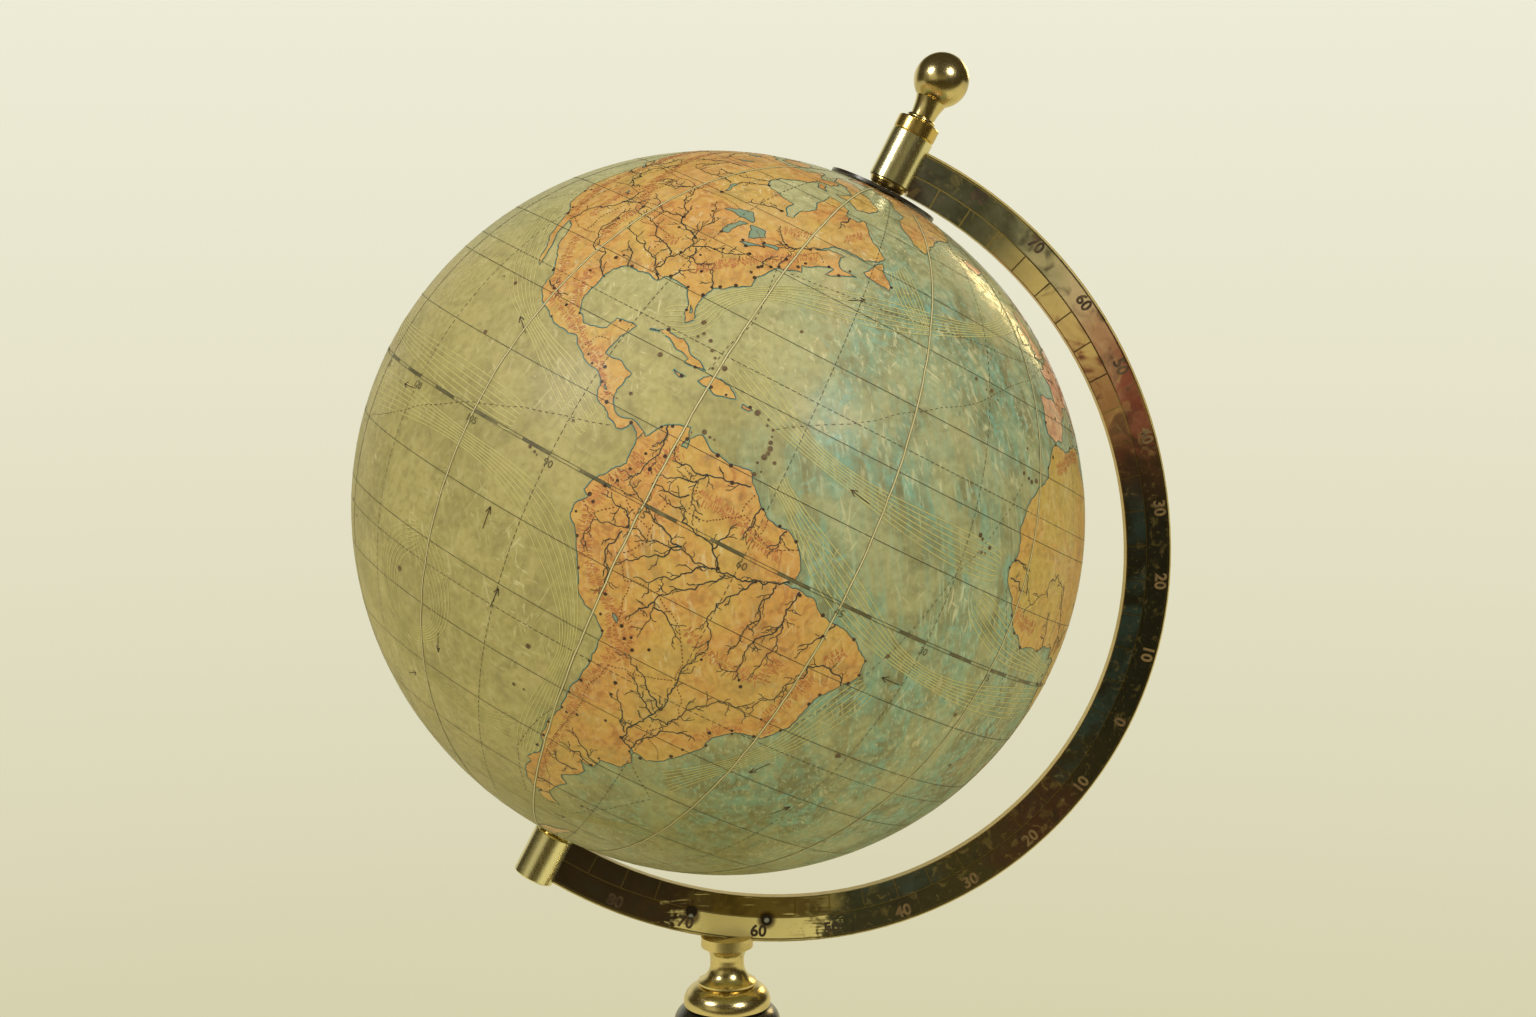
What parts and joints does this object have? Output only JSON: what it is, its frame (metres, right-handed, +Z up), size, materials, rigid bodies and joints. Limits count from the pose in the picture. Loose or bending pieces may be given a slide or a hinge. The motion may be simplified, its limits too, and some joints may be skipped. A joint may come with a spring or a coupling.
{
  "type": "terrestrial globe",
  "caption": "Tilted world globe that spins between pivots in a divided brass half meridian, on a turned and blackened wooden column with a round base.",
  "frame": {"origin": "centre of the round base's underside, on the column's axis", "axes": "+Z up along the column; +X to the right in the plane of the half meridian, the side that the band bows out to; +Y away from the side with the scale"},
  "size_m": [0.1841, 0.162, 0.3352],
  "materials": {
    "ebonised_wood": "gloss",
    "baize": "matte",
    "iron": "satin",
    "brass": "polished",
    "tarnished_brass": "satin",
    "shell_board": "matte",
    "core_wood": "matte",
    "plaster": "matte",
    "map_paper": "satin",
    "dark_disc": "satin"
  },
  "bodies": {
    "stand": {"base_disc": "ebonised_wood", "base_baize": "baize", "column": "ebonised_wood", "tie_rod": "iron", "rod_nut": "iron", "rod_washer": "iron", "ferrule": "brass", "neck": "brass", "ring_bracket": "tarnished_brass", "bracket_rivets": "tarnished_brass", "meridian_arc": "tarnished_brass", "upper_barrel": "brass", "upper_bush": "brass", "lower_barrel": "brass", "lower_pin": "brass", "thrust_washer": "brass"},
    "globe": {"north_shell": "shell_board", "south_shell": "shell_board", "core_pole": "core_wood", "shell_tacks": "iron", "plaster_coat": "plaster", "paper_gores": "map_paper", "polar_caps": "map_paper", "north_bush": "brass", "south_bush": "brass"},
    "hour_disc": {"hour_disc": "dark_disc"},
    "pin": {"pivot_pin": "iron"},
    "finial": {"finial": "brass", "finial_collar": "brass"}
  },
  "joints": [
    {"name": "globe_spin", "type": "hinge", "parent": "stand", "child": "globe", "pos_m": [-0.0015, 0, 0.23391], "axis": [0.4602, 0, 0.8878], "continuous": true},
    {"name": "hour_disc_turn", "type": "hinge", "parent": "globe", "child": "hour_disc", "pos_m": [0.03499, 0, 0.30432], "axis": [0.4602, 0, 0.8878], "continuous": true},
    {"name": "pin_lift", "type": "slide", "parent": "stand", "child": "pin", "axis": [0.4602, 0, 0.8878], "range_m": [0, 0.004]},
    {"name": "finial_turn", "type": "hinge", "parent": "pin", "child": "finial", "pos_m": [0.04783, 0, 0.32909], "axis": [0.4602, 0, 0.8878], "range_deg": [0, 1800]}
  ],
  "couplings": [
    {"joint": "finial_turn", "follows": "pin_lift", "rad_per_m": 7853.9}
  ]
}
